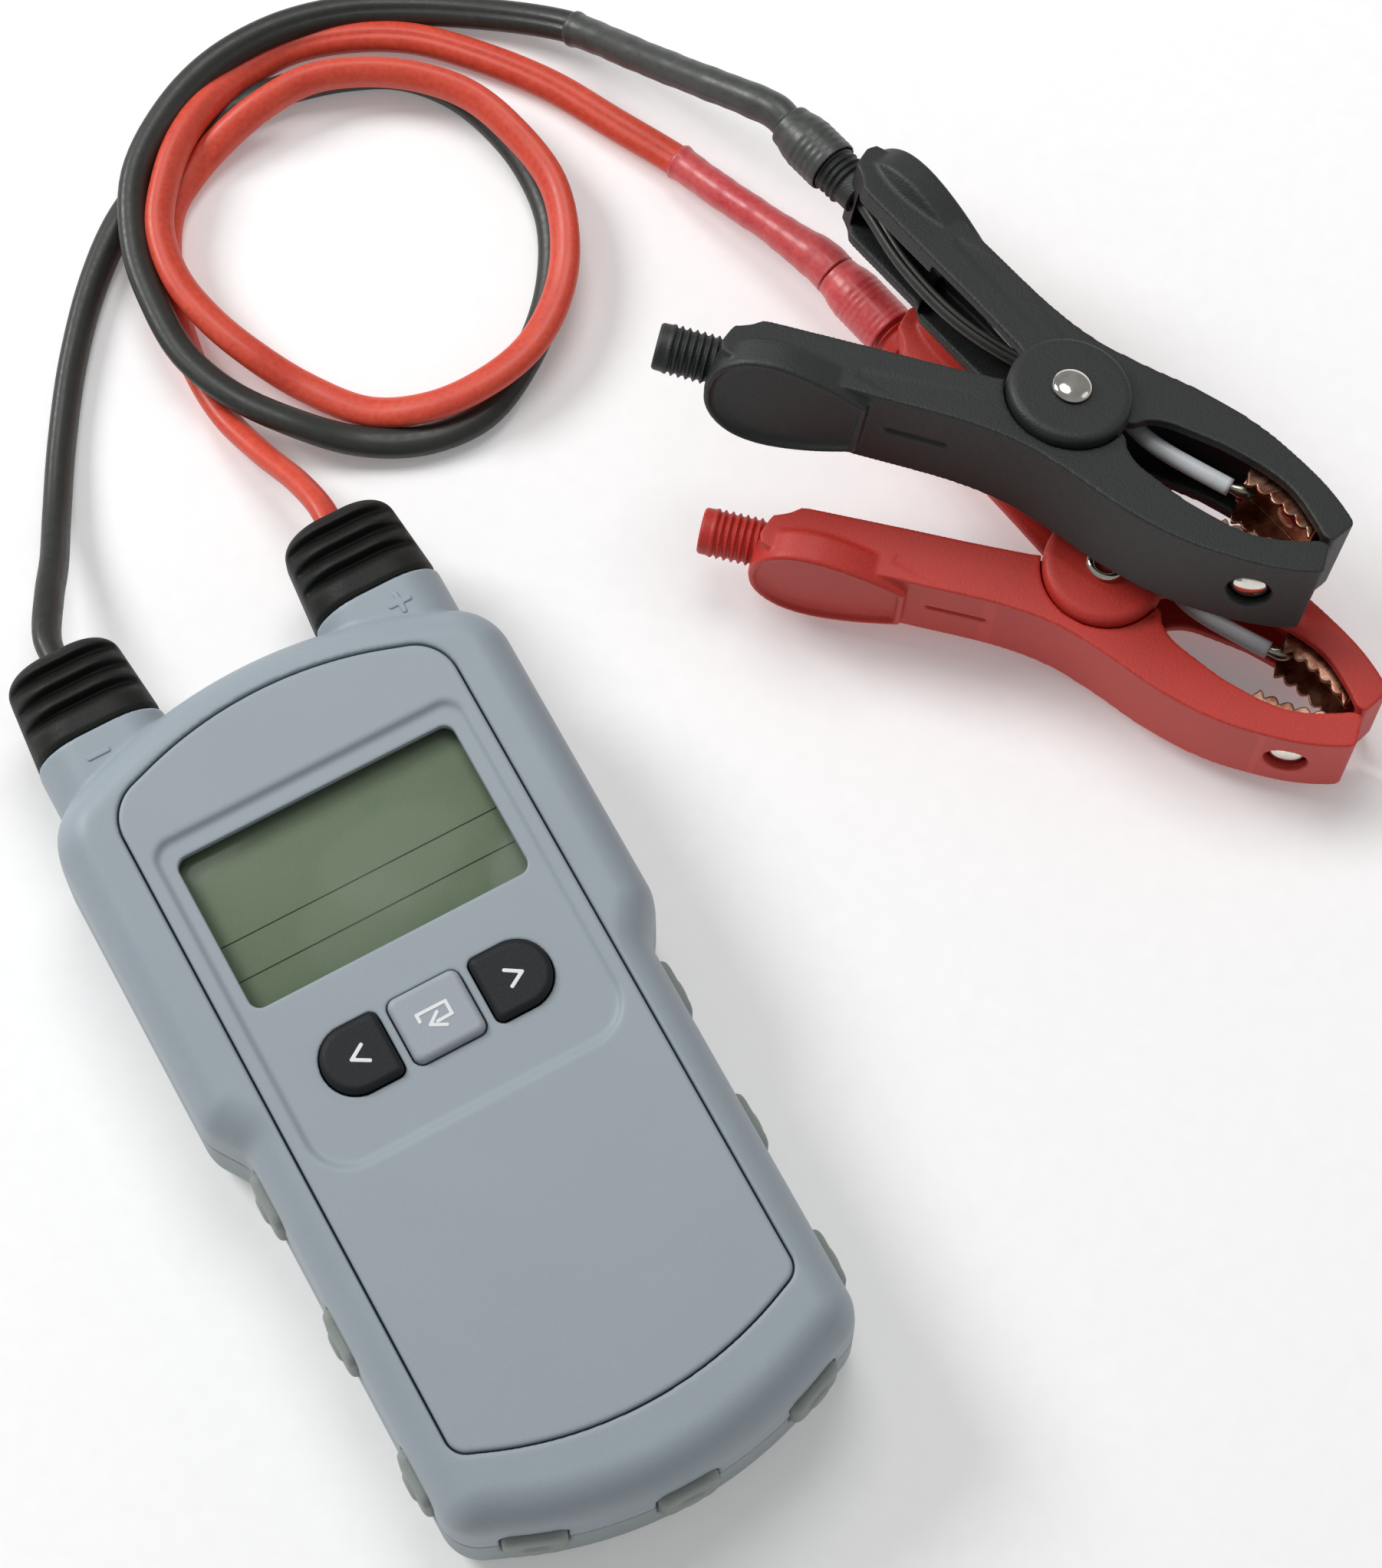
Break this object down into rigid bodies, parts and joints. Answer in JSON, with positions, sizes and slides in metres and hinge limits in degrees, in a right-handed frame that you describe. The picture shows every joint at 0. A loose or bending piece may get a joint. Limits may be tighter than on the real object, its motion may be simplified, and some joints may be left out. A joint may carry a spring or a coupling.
{
  "type": "battery tester",
  "caption": "Hand-held battery tester with a display, three keys, rubber bumpers and two looped leads that end in sprung clamps.",
  "frame": {"origin": "centre of the flat back face of the case, at the plan centre of the moulded outline", "axes": "+X to the right of the display, +Y along the case towards the lead end, +Z out of the display"},
  "size_m": [0.2607, 0.3333, 0.064],
  "materials": {
    "case_plastic": "fine satin texture",
    "rear_plastic": "fine satin texture",
    "panel_plastic": "fine satin texture",
    "bumper_rubber": "matte",
    "key_plastic": "matte",
    "boot_rubber": "satin",
    "clear_window": "gloss",
    "lcd_glass": "gloss",
    "lcd_frame_plastic": "satin",
    "board_laminate": "satin",
    "component_black": "satin",
    "resistor_ceramic": "matte",
    "capacitor_can": "satin",
    "screw_steel": "bright zinc plate",
    "plated_steel": "nickel plate",
    "jaw_copper": "copper plate, satin",
    "black_clamp_plastic": "fine grain",
    "red_clamp_plastic": "satin",
    "black_lead_rubber": "satin",
    "red_lead_rubber": "satin",
    "black_shrink": "satin",
    "red_shrink": "satin, slightly clear",
    "white_sleeve": "satin"
  },
  "bodies": {
    "tester": {"rear_case": "rear_plastic", "front_case": "case_plastic", "face_panel": "panel_plastic", "display_window": "clear_window", "lcd_module": "lcd_glass", "lcd_frame": "lcd_frame_plastic", "circuit_board": "board_laminate", "keypad_mat": "bumper_rubber", "processor_chip": "component_black", "load_resistor": "resistor_ceramic", "storage_capacitor": "capacitor_can", "bumper_right_1": "bumper_rubber", "bumper_left_1": "bumper_rubber", "bumper_right_2": "bumper_rubber", "bumper_left_2": "bumper_rubber", "bumper_right_3": "bumper_rubber", "bumper_left_3": "bumper_rubber", "bumper_end_1": "bumper_rubber", "bumper_end_2": "bumper_rubber", "bumper_end_3": "bumper_rubber", "case_screw_1": "screw_steel", "case_screw_2": "screw_steel", "case_screw_3": "screw_steel", "case_screw_4": "screw_steel", "black_lead_boot": "boot_rubber", "black_lead_tail": "black_lead_rubber", "black_lead": "black_lead_rubber", "black_lead_shrink": "black_shrink", "black_clamp_fixed_lever": "black_clamp_plastic", "black_clamp_pivot_rivet": "plated_steel", "black_clamp_spring": "plated_steel", "black_clamp_fixed_contact": "jaw_copper", "black_clamp_fixed_contact_rivet": "plated_steel", "black_clamp_channel_wire": "black_lead_rubber", "black_clamp_wire_sleeve": "white_sleeve", "black_clamp_nozzle_sleeve": "black_shrink", "red_lead_boot": "boot_rubber", "red_lead_tail": "red_lead_rubber", "red_lead": "red_lead_rubber", "red_lead_shrink": "red_shrink", "red_clamp_fixed_lever": "red_clamp_plastic", "red_clamp_pivot_rivet": "plated_steel", "red_clamp_spring": "plated_steel", "red_clamp_fixed_contact": "jaw_copper", "red_clamp_fixed_contact_rivet": "plated_steel", "red_clamp_channel_wire": "red_lead_rubber", "red_clamp_wire_sleeve": "white_sleeve", "red_clamp_nozzle_sleeve": "red_shrink"},
    "key_left_button": {"key_left": "key_plastic"},
    "key_enter_button": {"key_enter": "panel_plastic"},
    "key_right_button": {"key_right": "key_plastic"},
    "black_clamp_jaw": {"black_clamp_moving_lever": "black_clamp_plastic", "black_clamp_moving_contact": "jaw_copper", "black_clamp_moving_contact_rivet": "plated_steel", "black_clamp_sense_wire": "white_sleeve"},
    "red_clamp_jaw": {"red_clamp_moving_lever": "red_clamp_plastic", "red_clamp_moving_contact": "jaw_copper", "red_clamp_moving_contact_rivet": "plated_steel", "red_clamp_sense_wire": "white_sleeve"}
  },
  "joints": [
    {"name": "key_left_press", "type": "slide", "parent": "tester", "child": "key_left_button", "axis": [0, 0, -1], "range_m": [0, 0.0008], "stiffness_N_per_m": 600, "springref_m": -0.0004},
    {"name": "key_enter_press", "type": "slide", "parent": "tester", "child": "key_enter_button", "axis": [0, 0, -1], "range_m": [0, 0.0008], "stiffness_N_per_m": 600, "springref_m": -0.0004},
    {"name": "key_right_press", "type": "slide", "parent": "tester", "child": "key_right_button", "axis": [0, 0, -1], "range_m": [0, 0.0008], "stiffness_N_per_m": 600, "springref_m": -0.0004},
    {"name": "black_clamp_squeeze", "type": "hinge", "parent": "tester", "child": "black_clamp_jaw", "pos_m": [0.1696, 0.0576, 0.042], "axis": [-0.2284, -0.1085, -0.9675], "range_deg": [0, 28], "stiffness_Nm_per_rad": 0.5, "springref_deg": -34.38, "deforming": ["black_clamp_spring"]},
    {"name": "red_clamp_squeeze", "type": "hinge", "parent": "tester", "child": "red_clamp_jaw", "pos_m": [0.166, 0.0304, 0.0151], "axis": [-0.0571, -0.0232, -0.9981], "range_deg": [0, 28], "stiffness_Nm_per_rad": 0.5, "springref_deg": -34.38, "deforming": ["red_clamp_spring"]}
  ]
}
